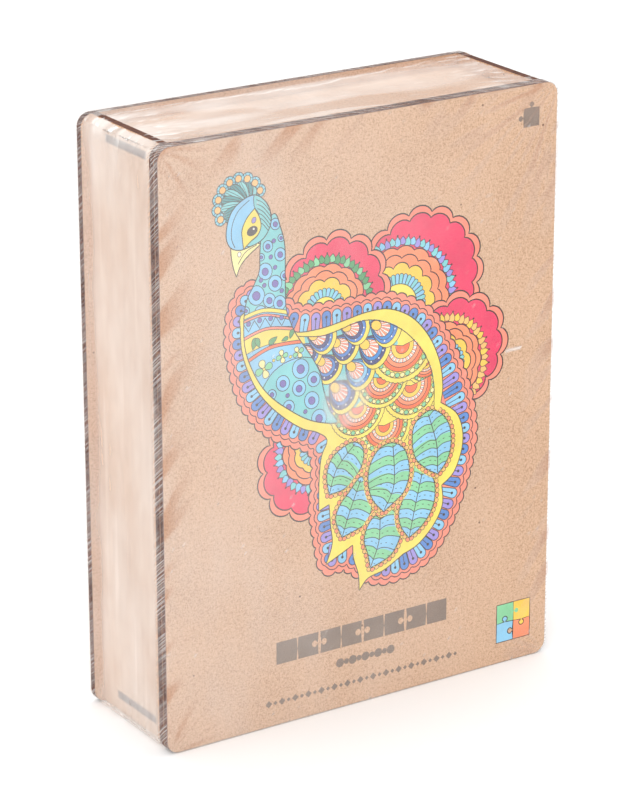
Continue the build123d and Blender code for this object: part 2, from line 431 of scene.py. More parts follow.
def lobedDisc(x, y, radius, lobes, bulge):
    line = disc(x, y, radius - bulge, 90)
    return scalloped(line, 2 * pi * (radius - bulge) / lobes, bulge, fine=10)


def fanLobes(look):
    return round(2 * pi * (look["reach"] - fanLobe["radius"]) / fanLobe["step"])


def paintFan(look):
    (x, y), (hx, hy) = look["middle"], look["heart"]
    line = disc(x, y, look["reach"] - fanLobe["radius"], 120)
    edge = scalloped(line, fanLobe["step"], fanLobe["radius"], fine=14)
    body = outlined(edge, "salmon", 0.56)
    rimless = disc(x, y, look["reach"] - fanLobe["radius"] - fanLobe["rim"], 120)
    inner = scalloped(rimless, 2 * pi * (look["reach"] - fanLobe["radius"] - fanLobe["rim"]) / fanLobes(look),
                      fanLobe["radius"] * 0.95, fine=14)
    pink = outlined(inner, "pink", 0.52, within=body)
    coral, coral2, amber, teal, heart = look["rings"]
    count = round(2 * pi * coral / 2.15)
    for k in range(count):
        a = 2 * pi * k / count
        tip = (hx + (coral + 3.9) * cos(a), hy + (coral + 3.9) * sin(a))
        if k % 2:
            paint(disc(*tip, 0.42, 6), "line", within=pink)
        petal = placed(drop(3.9 if k % 2 else 3.3, 3.0), hx + (coral + 3.6) * cos(a),
                       hy + (coral + 3.6) * sin(a), a + pi)
        outlined(petal, look["petals"][k % 3], 0.26, within=body)
    for radius, ink, bulge in ((coral, "coral", 4.6), (coral2, "coral", 4.2), (amber, "amber", 3.6)):
        outlined(lobedDisc(hx, hy, radius, round(2 * pi * radius / 8.4), bulge), ink, 0.46, within=body)
    count = round(2 * pi * teal / 1.9)
    for k in range(count):
        a = 2 * pi * k / count
        petal = placed(tongue(teal - heart + 1.1, 1.75), hx + (heart - 0.3) * cos(a),
                       hy + (heart - 0.3) * sin(a), a)
        outlined(petal, "aqua" if k % 2 else "sky", 0.26, within=body)
    outlined(disc(hx, hy, heart, 40), "yellow", 0.3, within=body)
    return body


for fan in fanArt:
    paintFan(fan)

# The looped edging round the body, then the yellow border
bodyLine = smooth([
    (-50, 131), (-57, 125), (-59, 113), (-57, 100), (-53, 88), (-45, 77), (-35, 70), (-24, 64), (-22, 54),
    (-23, 40), (-21, 26), (-18, 15), (-9, 14), (1, 7), (10, 4.5), (21, 6), (30, 11), (38, 22), (44, 36),
    (48, 52), (47, 66), (42, 82), (34, 98), (25, 109), (10, 116), (-8, 117), (-28, 118), (-38, 124)], steps=8)
border = smooth([
    (-53, 122), (-54.6, 115), (-54, 107), (-51.5, 99), (-47.5, 91), (-42, 84), (-35, 77.5), (-28, 72.5),
    (-22, 70), (-17.5, 66), (-20, 60), (-21, 51), (-21.2, 38.5, 1), (-16.6, 40.2, 1), (-16, 32), (-15.2, 24),
    (-18, 16.3, 1), (-12, 18.8), (-6, 21.5, 1), (-5.6, 16), (-3.4, 9), (-3, 2.2, 1), (1, 6.4), (8, 8),
    (13, 10.4), (17, 12.6, 1), (24, 15.2), (31, 21.5), (35, 29), (34.6, 37, 1), (40, 41), (43.5, 49),
    (44, 57), (41, 65), (33.7, 70.6, 1), (34.5, 77), (33, 87), (28, 98), (20, 107), (10, 112), (0, 112.6),
    (-10, 111.2), (-20, 110), (-30, 110.4), (-33.2, 113.5), (-35.4, 121, 1)])


def paintEdging():
    edging = outlined(scalloped(bodyLine, 4.6, 2.9, fine=10), "salmon", 0.52)
    outlined(scalloped(grow(turned(bodyLine), -2.0), 4.45, 2.6, fine=9), "salmon", 0.4, within=edging)
    tints = ("violet", "sky", "blue")
    line = turned(grow(turned(bodyLine), -1.2))
    for k, (x, y, dx, dy) in enumerate(walk(line, 4.5)):
        way = atan2(-dx, dy)
        root = (x - 8.6 * cos(way), y - 8.6 * sin(way))
        outlined(placed(tongue(9.0, 4.0), *root, way), tints[k % 3], 0.34, within=edging)
        paint(placed([(0, -0.15), (6.2, -0.15), (6.2, 0.15), (0, 0.15)], *root, way), "line", within=edging)
        paint(disc(root[0] + 6.5 * cos(way), root[1] + 6.5 * sin(way), 0.6, 8), "line", within=edging)
    return outlined(border, "yellow")


borderArea = paintEdging()

# Wing: blue eyed feathers over rows of orange half-round ones
wingField = paint(smooth([(-27.5, 108.4), (-20, 107), (-12, 108), (-5, 109.4), (2, 109.2), (10, 106.4),
                          (18, 101), (24.5, 93.5), (28.6, 86), (30.4, 78), (30.4, 69), (20, 55), (0, 54),
                          (-14, 62), (-15.5, 72), (-19, 80), (-21, 90)]), "yellow", within=borderArea)
paint([(-34, 112), (8, 111), (14, 98), (4, 84), (-8, 74), (-24, 70)], "aqua", wingField)


def beads(line, step, radius, tints, closed, within):
    for k, (x, y, dx, dy) in enumerate(walk(line, step, closed)):
        outlined(disc(x, y, radius, 9, 0.86, atan2(dy, dx)), tints[k % len(tints)], 0.24, within)


def arc(x, y, radius, start, end, steps=28):
    return [(x + radius * cos(start + (end - start) * k / steps),
             y + radius * sin(start + (end - start) * k / steps)) for k in range(steps + 1)]


# Half-round feather hanging below (x, y): rings, a striped arc and two rows of beads.
def halfFeather(x, y, size, tilt=0.0):
    low, high = pi + tilt - 0.25, 2 * pi + tilt + 0.25

    def fan(share):
        return halo(x, y, 0.02, size * share, low, high, 26)

    outlined(scalloped(arc(x, y, size * 1.16, low, high), size * 0.17, size * 0.12, False) + [(x, y)],
             "yellow", 0.28, borderArea)
    outlined(fan(1.1), "yellow", 0.28, borderArea)
    beads(arc(x, y, size * 1.0, low, high), size * 0.2, size * 0.1, ("mint", "cream"), False, borderArea)
    for share, ink in ((0.88, "orange"), (0.73, "coral"), (0.58, "white")):
        outlined(fan(share), ink, 0.28, borderArea)
    for k in range(13):
        a = low + (high - low) * (k + 0.5) / 13
        paint(halo(x, y, size * 0.44, size * 0.565, a - 0.05, a + 0.05, 1), "coral" if k % 2 else "salmon",
              borderArea)
        paint(halo(x, y, size * 0.44, size * 0.58, a + 0.1, a + 0.13, 1), "line", borderArea)
    for share, ink in ((0.44, "amber"), (0.27, "orange")):
        outlined(fan(share), ink, 0.26, borderArea)


# Drop-shaped feather: yellow rim, two blues, a rayed drop and a round eye near its root.
def eyedFeather(x, y, size, turn, outer, inner):
    def put(points):
        return placed(points, x, y, turn)

    outlined(put(drop(size * 1.3, size * 1.14, 26)), "yellow", 0.3, borderArea)
    paint(put([(u - 0.02 * size, v) for u, v in drop(size * 1.16, size * 0.98, 22)]), "line", borderArea)
    paint(put(drop(size * 1.12, size * 0.93, 22)), outer, borderArea)
    outlined(put([(u + 0.02 * size, v) for u, v in drop(size * 0.98, size * 0.74, 20)]), inner, 0.26,
             borderArea)
    heart = outlined(put([(u + 0.06 * size, v) for u, v in drop(size * 0.8, size * 0.56, 20)]), "white",
                     0.26, borderArea)
    for k in range(9):
        a = -1.15 + 2.3 * k / 8
        ray = [(0.3 * size, 0), (0.3 * size + size * 0.6 * cos(a - 0.07), size * 0.6 * sin(a - 0.07)),
               (0.3 * size + size * 0.6 * cos(a + 0.07), size * 0.6 * sin(a + 0.07))]
        paint(put(ray), "salmon" if k % 3 else "coral", heart)
        paint(put([(0.3 * size, 0), (0.3 * size + size * 0.6 * cos(a + 0.085), size * 0.6 * sin(a + 0.085)),
                   (0.3 * size + size * 0.6 * cos(a + 0.115), size * 0.6 * sin(a + 0.115))]), "line", heart)
    outlined(put(disc(0.3 * size, 0, size * 0.2, 12, 0.8)), "amber", 0.26, borderArea)
    for k in range(4):
        a = -0.9 + 0.6 * k
        spot = (size * (0.5 + 0.545 * cos(a)), size * 0.44 * sin(a))
        paint(put(disc(*spot, size * 0.028, 7)), "white", borderArea)


for place in ((8, 66.5, 9.6), (-4, 76.0, 9.8), (26.5, 88.5, 7.2), (20, 80, 10.4), (7, 85.5, 9.2),
              (16, 96.5, 11.4)):
    halfFeather(*place)
for place in ((-21.5, 84, 9.0, -1.0, "plum", "blue"), (-16.5, 88.5, 12.2, -0.82, "navy", "blue"),
              (-9.5, 95, 11.6, -0.72, "bright", "sky"), (-22.5, 99.5, 10.6, -0.78, "navy", "blue"),
              (-4, 102.4, 12.4, -0.62, "navy", "bright"), (-16.4, 105, 11.0, -0.58, "navy", "blue"),
              (-30, 105.5, 9.4, -0.8, "blue", "navy"), (-26.5, 109, 10.6, -0.42, "blue", "navy"),
              (-12, 109.4, 10.6, -0.36, "blue", "navy"), (1, 108.4, 12.0, -0.5, "blue", "bright")):
    eyedFeather(*place)

# Leaves of the tail, each bordered with beads
leafArt = [
    {"edge": [(-16.6, 44.2, 1), (-17.6, 52), (-15, 58.6), (-9, 62.2), (-4.5, 62.4), (-1.4, 59), (-2, 53),
              (-6, 47.5), (-10.5, 44.8)],
     "rib": [(-16.4, 44.6), (-13, 54), (-5, 62)]},
    {"edge": [(-10.8, 25.8, 1), (-13.6, 33), (-12, 38.4), (-7.5, 43.4), (-2.6, 48.2), (-0.4, 45),
              (1.8, 39), (2.2, 33.4), (-0.5, 29), (-5, 27.2)],
     "rib": [(-10.6, 26.2), (-7.5, 35), (-2.5, 47)]},
    {"edge": [(2, 10.4, 1), (1, 16), (-0.8, 22), (0.6, 27.4), (4, 31), (7, 29.5), (11.5, 32), (15.2, 27),
              (15.6, 20.6), (12.2, 14.4), (7.6, 11.9)],
     "rib": [(2.2, 10.8), (5.8, 20), (6.4, 30)]},
    {"edge": [(19.6, 18.8, 1), (16, 24), (15, 30.4), (18, 37), (21.4, 43.5), (22, 48.5), (27, 44.5),
              (30.8, 40), (31.4, 33), (29.4, 27), (25, 22)],
     "rib": [(19.8, 19.2), (22.6, 32), (25.5, 44)]},
    {"edge": [(8, 32, 1), (3.2, 37.4), (1, 44), (1.4, 51), (5, 57), (11, 59), (16.6, 56), (19, 50.6),
              (19.4, 44), (17, 38), (12, 34.4)],
     "rib": [(8.2, 32.6), (12.6, 42), (12, 58)]},
    {"edge": [(32.6, 42, 1), (27.4, 45.2), (22.4, 50.4), (20.8, 57.5), (22, 64.4), (28.4, 68.4), (34, 66),
              (37.8, 60.4), (38.6, 53), (36.8, 46.6)],
     "rib": [(32.6, 42.6), (32, 54), (28, 67)]},
]


def paintLeaf(look):
    edge = turned(smooth(look["edge"]))
    outer = grow(edge, 2.1)
    paint(outer, "yellow", borderArea)
    beads(grow(edge, 1.05), 2.0, 0.98, ("coral", "peach"), True, borderArea)
    leaf = outlined(edge, "sky", 0.34, borderArea)
    rib = smooth(look["rib"], False, 10)
    marks = walk(rib, 3.7, False)
    for k, (x, y, dx, dy) in enumerate(marks):
        way = atan2(dy, dx)
        for side in (-1, 1):
            bend = [(-1.0, 0), (0.2, 3 * side), (-0.4, 8 * side), (-2.4, 14 * side)]
            low = placed(smooth(bend, False), x, y, way)
            if k % 2:
                high = placed(smooth([(u + 3.7, v) for u, v in bend], False), x, y, way)
                paint(low + high[::-1], "mint", leaf)
    for k, (x, y, dx, dy) in enumerate(marks):
        way = atan2(dy, dx)
        for side in (-1, 1):
            bend = smooth([(-1.0, 0), (0.2, 3 * side), (-0.4, 8 * side), (-2.4, 14 * side)], False)
            paint(placed(stroke(bend, 0.3), x, y, way), "line", leaf)
            for j in (2, 5, 8):
                dash = [(bend[j][0] + 1.85, bend[j][1]), (bend[j + 1][0] + 1.85, bend[j + 1][1])]
                paint(placed(stroke(dash, 0.24), x, y, way), "line", leaf)
    paint(stroke(rib, 0.36), "line", leaf)


for leaf in leafArt:
    paintLeaf(leaf)

# The yellow border's own inner line along the top of the wing
paint(stroke(smooth([(-30, 108.8), (-20, 107), (-12, 108), (-5, 109.4), (2, 109.2), (10, 106.4), (18, 101),
                     (24.5, 93.5), (28.6, 86), (30.4, 78), (30.6, 70)], False), 0.36), "line", borderArea)
topBand = smooth([(-31, 110.2), (-20, 109.9), (-10, 111.1), (0, 112.4), (10, 111.8), (20, 106.8),
                  (27.8, 97.8), (32.8, 87), (34.2, 77), (33.6, 69), (30.9, 69), (30.7, 78), (28.9, 86.2),
                  (24.8, 93.8), (18.2, 101.3), (10.1, 106.7), (2, 109.5), (-5, 109.7), (-12, 108.3),
                  (-20, 107.3), (-30, 109)])
paint(topBand, "yellow", borderArea)

# Neck and breast
neckArea = outlined(smooth([(-45, 152), (-46.2, 143), (-46.4, 137), (-48.6, 132), (-51.6, 127), (-53, 121),
                            (-53.2, 113), (-52.2, 106), (-49, 98), (-45, 91.4), (-40, 86), (-34, 81.2),
                            (-27, 76.4), (-20, 73.4), (-13, 72.2), (-16.5, 78), (-19, 86), (-20.6, 93),
                            (-24, 99.5), (-28, 105.4), (-31, 110), (-33.4, 115), (-35.2, 121), (-35.5, 132),
                            (-35.6, 144), (-37.4, 151.5), (-40, 157)]), "aqua")
for x, y, radius in ((-39.6, 153, 2.0), (-42.8, 145.2, 2.0), (-37.2, 147.4, 1.3), (-37.6, 141.3, 2.3),
                     (-44, 136, 2.9), (-39.8, 130.8, 2.8), (-47.8, 127.6, 3.4), (-42.3, 124.8, 2.5),
                     (-37.9, 123, 2.6), (-35.8, 133, 1.7), (-46, 120.8, 2.5), (-36.7, 92, 2.8),
                     (-29, 96.2, 3.5), (-23.3, 91, 2.7), (-29.7, 88.7, 2.8), (-34.2, 82.4, 2.4),
                     (-24.2, 83, 3.1), (-21, 75.4, 3.2), (-52.2, 122.6, 1.4), (-45.6, 141.6, 1.3),
                     (-41.4, 88.6, 1.8)):
    outlined(disc(x, y, radius, 18, 1.12, 0.5), "sky", 0.3, neckArea)
    outlined(disc(x, y - radius * 0.05, radius * 0.46, 12, 1.15, 0.6), "plum", 0.22, neckArea)
for x, y in ((-40.3, 146.8), (-41.6, 141), (-39.8, 136.8), (-44.4, 130.8), (-37, 127.5), (-34.7, 86.9),
             (-27, 79.1), (-50.5, 131.6), (-45.8, 133)):
    outlined(disc(x, y, 0.85, 10), "plum", 0.2, neckArea)


# Curved band right across the neck.
def sash(left, middle, right, width, ink):
    bow = smooth([left, middle, right], False, 8)
    outlined(stroke(bow, width), ink, 0.28, neckArea)


paint(smooth([(-56, 119), (-44, 120.4), (-32, 116.6), (-26, 106), (-30, 100.2), (-38, 98.6), (-44.6, 93.5),
              (-50, 88), (-56, 100)], True), "sky", neckArea)
sash((-55, 119.6), (-44.5, 121.4), (-32, 118), 1.5, "yellow")
sash((-55, 118), (-44.5, 119.6), (-31.5, 115.6), 0.9, "salmon")
for k in range(4):
    x = -51.2 + 4.7 * k
    y = 115.8 + 1.0 * sin(pi * (k + 0.6) / 4)
    drawLine([(x - 2.35, y + 1.8), (x, y - 1.9, 1), (x + 2.35, y + 1.8)], 0.3, neckArea)
    outlined(disc(x, y + 1.2, 0.95, 10), "plum", 0.22, neckArea)
bow = smooth([(-55, 108.6), (-43, 111.2), (-29, 109.2)], False, 8)
outlined(stroke(bow, 6.4), "yellow", 0.28, neckArea)
sash((-55, 111.4), (-43.5, 114.2), (-30, 111.6), 1.1, "salmon")
sash((-54, 102.2), (-42, 106.8), (-28, 106.6), 1.3, "orange")
for x, y, turn, size in ((-49.5, 107.2, 1.3, 4.6), (-46.6, 107.6, 1.9, 4.0), (-42.6, 107.4, 0.9, 3.4),
                         (-39, 110.4, -2.6, 4.2), (-37.2, 108.4, 0.3, 3.0), (-33.6, 108.6, 1.2, 3.6)):
    outlined(placed(drop(size, size * 0.56), x, y, turn), "green", 0.24, neckArea)


def blossom(x, y, size, turn):
    for k in range(4):
        outlined(placed(drop(size, size * 0.78), x, y, turn + k * pi / 2), "cream" if k % 2 else "mint",
                 0.24, neckArea)
    outlined(disc(x, y, size * 0.16, 8), "yellow", 0.2, neckArea)


for spot in ((-44.8, 99, 3.8, 0.35), (-37, 102.4, 2.6, 0.2), (-30, 102.6, 2.5, 0.5)):
    blossom(*spot)
for x in (-40.6, -33.4):
    outlined(disc(x, 101.6, 0.62, 9), "yellow", 0.22, neckArea)
drawLine([(-45.4, 91.6), (-41.5, 96.6), (-36, 99.6), (-29.5, 100.6), (-24, 99.4)], 0.32, neckArea)

# Head, beak and crest
crestArt = {"root": (-50.5, 162), "count": 9, "start": 22.0, "turn": 188.0, "centre": (-54.5, 163),
            "reach": 9.2}


def paintCrest(look):
    x, y = look["centre"]
    rootX, rootY = look["root"]
    angles = [radians(look["start"] + look["turn"] * k / (look["count"] - 1)) for k in range(look["count"])]
    outlined(disc(x, y, 8.2, 40), "teal")
    for a in angles:
        tx, ty = x + look["reach"] * cos(a), y + look["reach"] * sin(a)
        ring = outlined(disc(tx, ty, 2.4, 18), "sky", 0.3)
        for k in range(12):
            b = a - 2.5 + 5.0 * k / 11
            paint(halo(tx, ty, 1.45, 2.25, b - 0.13, b + 0.13, 1), "teal" if k % 2 else "aqua", ring)
        outlined(disc(tx, ty, 1.35, 14), "peach", 0.26, ring)
    for k, a in enumerate(angles):
        tx, ty = x + (look["reach"] - 1.3) * cos(a), y + (look["reach"] - 1.3) * sin(a)
        way = atan2(ty - rootY, tx - rootX)
        long = hypot(tx - rootX, ty - rootY)
        leaf = outlined(placed(drop(long, 4.6, 18), rootX, rootY, way), "aqua" if k % 2 else "teal", 0.3)
        for bend in (-0.24, 0.0, 0.24):
            vein = smooth([(0, 0), (long * 0.5, bend * long * 0.34), (long * 0.96, bend * long * 0.3)], False)
            paint(placed(stroke(vein, 0.22), rootX, rootY, way), "line", leaf)


paintCrest(crestArt)
beak = outlined(smooth([(-58.4, 149, 1), (-58.2, 144), (-57.2, 139), (-56, 135.9, 1), (-54.6, 139.4),
                        (-51.6, 142.6), (-46, 146.4, 1), (-50, 150, 1)]), "cream")
drawLine([(-55.4, 140.6), (-52.2, 144.6), (-47.4, 146.6)], 0.28, beak)
outlined(disc(-54.8, 144.2, 0.75, 10, 1.3), "white", 0.22, beak)
headArea = outlined(smooth([(-48, 165.2), (-53, 164.2), (-57.4, 161), (-59.6, 156.4), (-60.2, 151),
                            (-58.4, 147.2), (-54.6, 145.7), (-50, 146.4), (-46, 147.6), (-43.2, 150),
                            (-41.4, 154), (-41.6, 158), (-43.6, 162)]), "sky")
cheek = outlined(smooth([(-48.2, 165.4), (-44.6, 163), (-42.2, 159.4), (-41.4, 155), (-42.2, 151),
                         (-45, 148.2), (-49.6, 146.4), (-51.6, 147.2), (-47, 150), (-46, 153.4),
                         (-46.6, 158), (-48.4, 161)]), "aqua", 0.3, headArea)
for k in range(6):
    shift = k * 1.7
    drawLine([(-47.6 + shift * 0.15, 163.4 - shift), (-44.6 + shift * 0.05, 161.6 - shift),
              (-41.2, 157.4 - shift)], 0.28, cheek)
drawLine([(-50.4, 163.6), (-55, 160.4), (-57.6, 155.6), (-58, 150.6), (-56.6, 147)], 0.28, headArea)
outlined(smooth([(-48.3, 160.2, 1), (-46.4, 157), (-45.6, 153.4), (-46.8, 150.4), (-50, 148.2),
                 (-53, 145.8, 1), (-53.4, 149), (-53.6, 153), (-51.6, 157)]), "yellow", 0.34, headArea)
outlined(disc(-48.6, 155.9, 1.2, 12, 0.75, 1.1), "violet", 0.2)
paint(disc(-49.3, 152, 2.35, 16, 0.76, 0.35), "dark")
paint(disc(-48.7, 152.7, 0.42, 8), "white")
birdShapes = len(picture)
print("picture drawn:", birdShapes, "shapes")


# Plain devices where the box carries its captions

# Little jigsaw piece; knobs: right, top, left, bottom as 1 out, -1 in, 0 flat.
def jigsawTile(x, y, size, knobs):
    half, found = size / 2, []
    for side, knob in enumerate(knobs):
        edge = [(half, -half)]
        if knob:
            edge += [(half + knob * size * (0.03 + 0.15 * (1 - cos(a))),
                      -size * 0.15 * sin(a) * (1 if cos(a) < 0.4 else 0.55))
                     for a in (0.3 + (2 * pi - 0.6) * k / 12 for k in range(13))]
        found += placed(edge, 0, 0, side * pi / 2)
    return [(x + u, y + v) for u, v in found]


def paintCaptions():
    for k in range(8):
        side = -1 if k % 2 else 1
        paint(turned(jigsawTile(-35.6 + 9.8 * k, -14.8, 9.0,
                                (side if k < 7 else 0, 0, -side if k else 0, 0))), "grey")
    for k in range(9):
        paint(disc(-11.6 + 2.9 * k, -25.5, 1.15 if k % 2 else 1.8, 16), "grey")
    for k in range(30):
        paint(disc(-43.6 + 2.95 * k, -34.8, 0.9 if k % 2 else 1.5, 4), "grey")
    paint(turned(jigsawTile(73.4, 175.6, 7.2, (0, 1, 1, 0))), "grey")
    ring = [("coral", (0, -1, 0, 0), 4, -4), ("amber", (0, 0, 0, 1), 4, 4), ("mint", (1, 0, 0, -1), -4, 4),
            ("sky", (-1, 1, 0, 0), -4, -4)]
    for ink, knobs, u, v in ring:
        paint(grow(turned(jigsawTile(69.6 + u, -27.4 + v, 8, knobs)), 0.2), "line")
    for ink, knobs, u, v in ring:
        paint(grow(turned(jigsawTile(69.6 + u, -27.4 + v, 8, knobs)), -0.2), ink)


paintCaptions()


# Flat maps made into printed boards

# Which points a closed line winds round.
def insideRing(x, y, ring):
    turns = np.zeros(len(x), int)
    for (ax, ay), (bx, by) in zip(ring, ring[1:] + ring[:1]):
        left = (bx - ax) * (y - ay) - (x - ax) * (by - ay)
        turns += ((ay <= y) & (by > y) & (left > 0)).astype(int)
        turns -= ((ay > y) & (by <= y) & (left < 0)).astype(int)
    return turns != 0


# One flat layer of triangles for all the shapes: points, faces, top shape and home ring of each face.
def flatMap(rings, shapes, chosen):
    points, edges = [], []
    for ring in [*rings, *(shapes[k][0] for k in chosen)]:
        first, count = len(points), len(ring)
        points += [Vector(p[:2]) for p in ring]
        edges += [(first + i, first + (i + 1) % count) for i in range(count)]
    spots, _, faces, _, _, _ = delaunay_2d_cdt(points, edges, [], 0, 1e-5, False)
    spots, faces = np.array([p[:] for p in spots]), np.array(faces)
    faces = faces[np.argsort(spots[faces].mean(1)[:, 0])]
    x, y = spots[faces].mean(1).T
    tops, homes, clips = np.full(len(faces), -1), np.full(len(faces), -1), {}

    def among(ring, free):
        across, up = [p[0] for p in ring], [p[1] for p in ring]
        low, high = np.searchsorted(x, [min(across), max(across)])
        near = low + np.nonzero(free[low:high] & (y[low:high] > min(up)) & (y[low:high] < max(up)))[0]
        return near[insideRing(x[near], y[near], [p[:2] for p in ring])]

    def clipped(k):
        if k not in clips:
            held = np.zeros(len(faces), bool)
            held[among(shapes[k][0], ~held)] = True
            clips[k] = held if shapes[k][2] is None else held & clipped(shapes[k][2])
        return clips[k]

    for k, ring in enumerate(rings):
        homes[among(ring, homes < 0)] = k
    for k in sorted(chosen, reverse=True):
        found = among(shapes[k][0], tops < 0)
        tops[found if shapes[k][2] is None else found[clipped(shapes[k][2])[found]]] = k
    return spots, faces, tops, homes


# Numbers of the shapes that can be seen, and of those that clip them.
def shownShapes(tops, shapes):
    found = set(tops[tops >= 0].tolist())
    while True:
        more = found | {shapes[k][2] for k in found if shapes[k][2] is not None}
        if more == found:
            return sorted(found)
        found = more


# Corner colours; the last value is how much ink covers the board.
def printColours(mesh, tints, bare):
    layer = mesh.color_attributes.new("print", "FLOAT_COLOR", "CORNER")
    values = []
    for polygon in mesh.polygons:
        tint = tints[polygon.index] if polygon.index < len(tints) else bare
        values += [*inks[tint], 1.0] * polygon.loop_total if tint else [0.0] * 4 * polygon.loop_total
    layer.data.foreach_set("color", values)


# Flat map as the front of a board: eased or square edges, then a plain back.
def boardMesh(name, spots, faces, tints, place, depth, material, ease=0.0, outward=None):
    bm = bmesh.new()
    used = sorted({k for face in faces for k in face})
    verts = {k: bm.verts.new(place(spots[k])) for k in used}
    for face in faces:
        bm.faces.new([verts[k] for k in face])
    bm.normal_update()
    if sum(f.normal.y * f.calc_area() for f in bm.faces) > 0:
        bmesh.ops.reverse_faces(bm, faces=bm.faces[:])
    rim = [e for e in bm.edges if len(e.link_faces) == 1]
    for back, out in ([(ease, ease), (depth - ease, 0), (depth, -ease)] if ease else [(depth, 0)]):
        made = bmesh.ops.extrude_edge_only(bm, edges=rim)["geom"]
        ringVerts = [v for v in made if isinstance(v, bmesh.types.BMVert)]
        rim = [e for e in made if isinstance(e, bmesh.types.BMEdge)]
        for v in ringVerts:
            v.co.y = place(Vector((0, 0))).y + back
            if out and outward:
                v.co += outward(v.co) * out
    bmesh.ops.contextual_create(bm, geom=rim)
    bm.normal_update()
    bmesh.ops.recalc_face_normals(bm, faces=bm.faces[:])
    mesh = bpy.data.meshes.new(name)
    bm.to_mesh(mesh)
    bm.free()
    printColours(mesh, tints, None)
    mesh.materials.append(material)
    board = bpy.data.objects.new(name, mesh)
    bpy.context.scene.collection.objects.link(board)
    return board


plateArt = {"corner": 5.0, "ease": 0.00025, "shiftX": 1.2 * mm, "shiftZ": 44.3 * mm}


def plateOutline(look):
    halfX, halfZ = (plateHigh.x - plateLow.x) / 2 / mm, (plateHigh.z - plateLow.z) / 2 / mm
    radius, inset = look["corner"], look["ease"] / mm
    middle = (plateMiddleZ - look["shiftZ"]) / mm
    found = []
    for sx, sz, start in ((1, -1, -pi / 2), (1, 1, 0), (-1, 1, pi / 2), (-1, -1, pi)):
        for k in range(13):
            a = start + pi / 2 * k / 12
            found.append((sx * (halfX - radius) + (radius - inset) * cos(a) - look["shiftX"] / mm,
                          middle + sz * (halfZ - radius) + (radius - inset) * sin(a)))
    return found


# Direction out of the plate's rounded outline at a point of its rim.
def fromPlateMiddle(co):
    r = plateArt["corner"] * mm
    x = max(plateLow.x + r, min(plateHigh.x - r, co.x))
    z = max(plateLow.z + r, min(plateHigh.z - r, co.z))
    return Vector((co.x - x, 0, co.z - z)).normalized()


tops = flatMap([], picture, range(len(picture)))[2]
shown = shownShapes(tops, picture)
spots, faces, tops, homes = flatMap([plateOutline(plateArt)], picture, shown)
kept = homes == 0
print("lid map:", int(kept.sum()), "triangles")
lidBoard = boardMesh(
    "lidBoard", spots, faces[kept].tolist(), [picture[k][1] if k >= 0 else None for k in tops[kept]],
    lambda p: Vector((p[0] * mm + plateArt["shiftX"], plateLow.y, p[1] * mm + plateArt["shiftZ"])),
    plateHigh.y - plateLow.y, printedBoard, plateArt["ease"], fromPlateMiddle)
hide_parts("lid_panel")
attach(lidBoard, "lid")


# The jigsaw: the same picture on each piece's front

# Outlines of a part's front face, in the picture's millimetres.
def frontLoops(node):
    bm = bmesh.new()
    bm.from_mesh(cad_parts[node].data)
    bmesh.ops.remove_doubles(bm, verts=bm.verts[:], dist=1e-6)
    front = min(v.co.y for v in bm.verts)
    rim = {}
    for face in bm.faces:
        if face.normal.y < -0.99 and abs(face.calc_center_median().y - front) < 1e-5:
            for loop in face.loops:
                twin = [f for f in loop.edge.link_faces if f is not face and f.normal.y < -0.99]
                if not twin:
                    rim[loop.vert.index] = (loop.link_loop_next.vert.index, tuple(loop.vert.co))
    loops = []
    while rim:
        start = next(iter(rim))
        ring, k = [], start
        while k in rim:
            k, co = rim.pop(k)
            ring.append((co[0] / mm, co[2] / mm - jigsawBase))
        loops.append(ring)
    bm.free()
    return loops


jigsawBase = 28.7  # the picture's zero above the floor
jigsawNodes = sorted(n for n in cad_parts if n.startswith("jigsaw"))
jigsawLoops = [(node, loop) for node in jigsawNodes for loop in frontLoops(node)]
print("jigsaw outlines:", len(jigsawLoops))
shown = [k for k in shown if k < birdShapes]
spots, faces, tops, homes = flatMap([turned(loop) for _, loop in jigsawLoops], picture, shown)
jigsawBoard = makeBoard("jigsawBoard", 1, printed=True)
for node in jigsawNodes:
    mine = np.isin(homes, [k for k, (owner, _) in enumerate(jigsawLoops) if owner == node])
    low, high = corners(node)
    piece = boardMesh(
        node.replace("jigsaw_", "printed_"), spots, faces[mine].tolist(),
        [picture[k][1] if k >= 0 else "salmon" for k in tops[mine]],
        lambda p: Vector((p[0] * mm, low.y, (p[1] + jigsawBase) * mm)), high.y - low.y, jigsawBoard)
    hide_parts(node)
    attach(piece, node.replace("jigsaw_", ""))
print("jigsaw pieces printed")


# Shrink film: two thin caps stretched from plate to plate
filmLook = {
    "corner": 5.3,  # radius of the film's corners
    "gap": 0.1,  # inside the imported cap
    "step": 1.05,  # spacing of the grid on the front face
    "sag": 0.9,
    "haze": 0.075,
    "acrossHaze": (0.5, 3.2),  # share of the haze at the right and left ends
    "sideHaze": 0.15,
    "topHaze": 0.2,
    "frontLip": (-0.0205, -0.0235),  # where ticks begin and are full, along the depth
    "backLip": (0.0243, 0.0256),
    "overhang": (0.0205, 0.0168),  # side haze gives way here, over the strip where the back panel juts out, as painted shade on that strip
    "tickScale": 1800.0,
    "roughness": 0.22,
    "tint": sRgb(252, 248, 244),
    "damp": sRgb(190, 118, 66),  # painted darker streaks where the film lies tight on the board
}
filmHigh = corners("film_front")[1]
filmHalf = round(filmHigh.x / mm, 1)
filmTall = round(filmHigh.z / mm, 1)


def softNoise(x, y, z=0.0):
    return noise.noise(Vector((x, y, z)))
